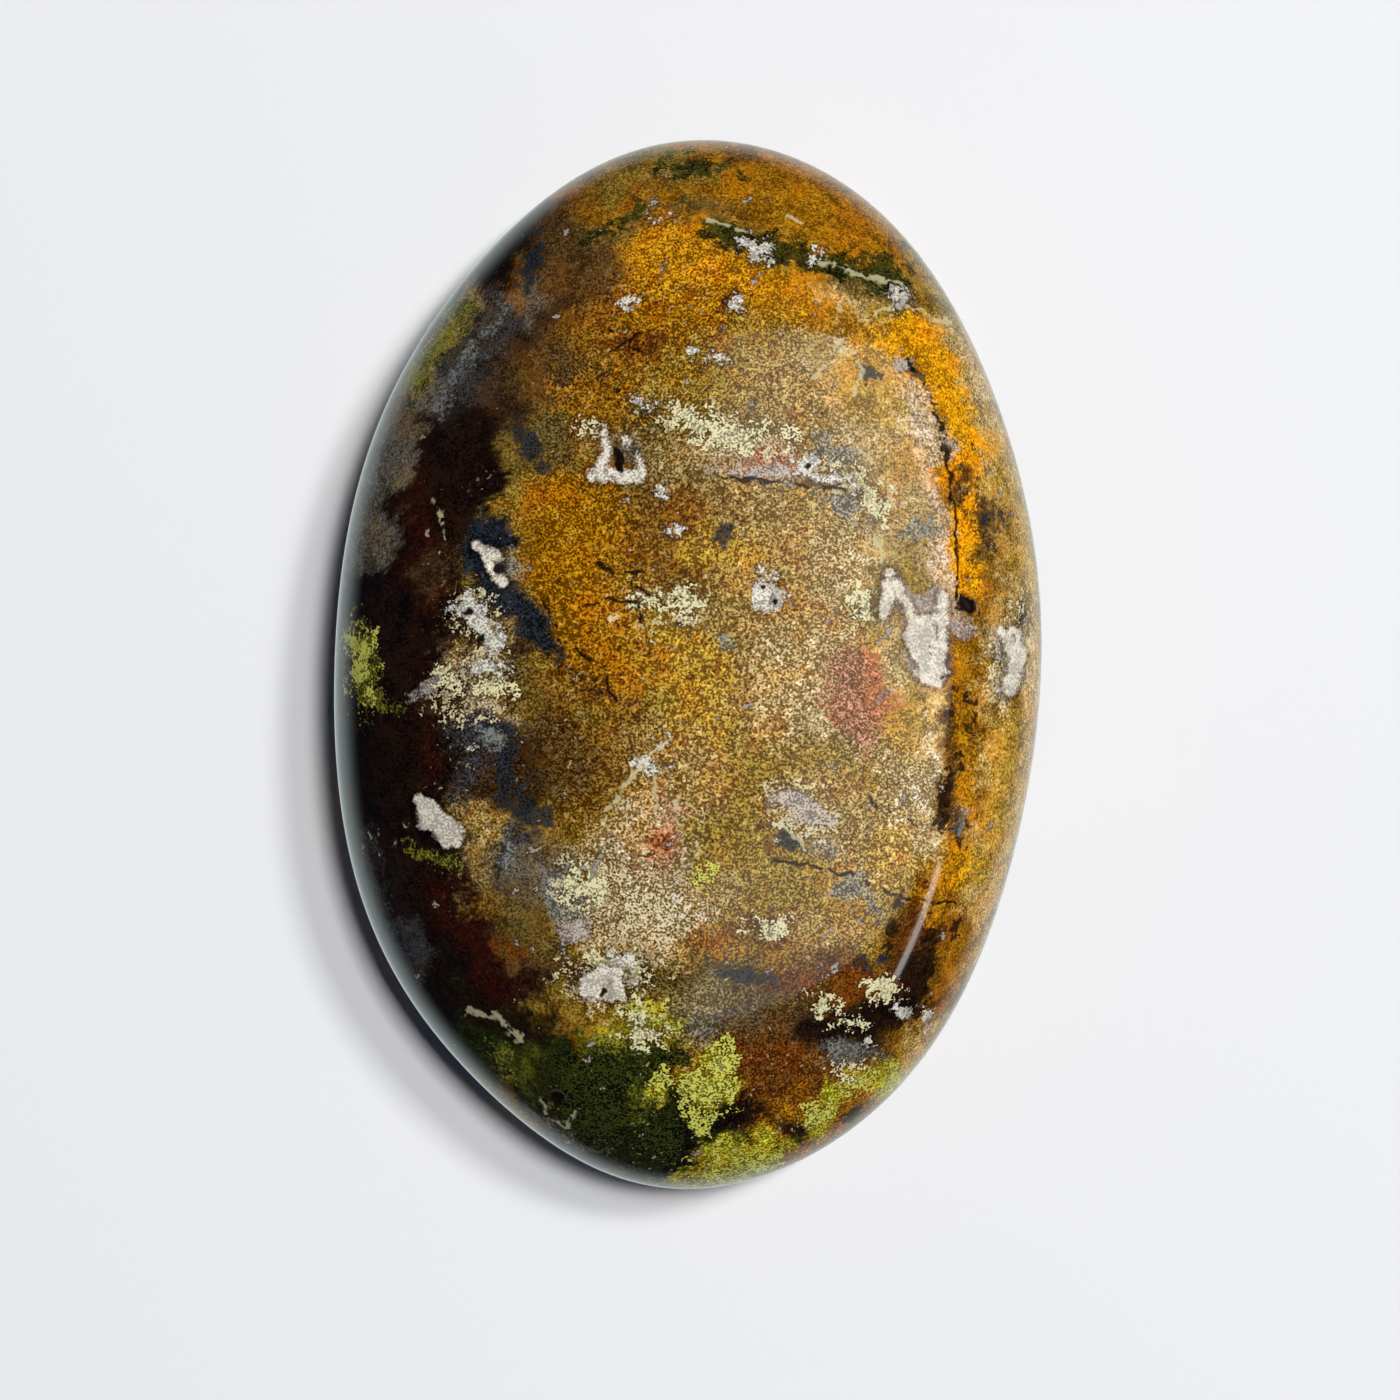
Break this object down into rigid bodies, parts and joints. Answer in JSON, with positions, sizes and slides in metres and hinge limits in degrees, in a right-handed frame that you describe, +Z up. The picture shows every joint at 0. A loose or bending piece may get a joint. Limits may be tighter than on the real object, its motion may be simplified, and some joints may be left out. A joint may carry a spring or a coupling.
{
  "type": "polished stone trinket dish",
  "caption": "Oval trinket dish carved from one polished green opal, turned over on its rim: domed back with a small flat foot on top, shallow hollow beneath.",
  "frame": {"origin": "on the table, under the middle of the dish's outline, with the dish turned over on its rim", "axes": "+Y along the dish's length, +X across it, +Z up out of the small flat foot on its back"},
  "size_m": [0.074, 0.11, 0.0275],
  "materials": {
    "polished_opal": "polished"
  },
  "bodies": {
    "root": {"trinket_dish": "polished_opal"}
  },
  "joints": []
}
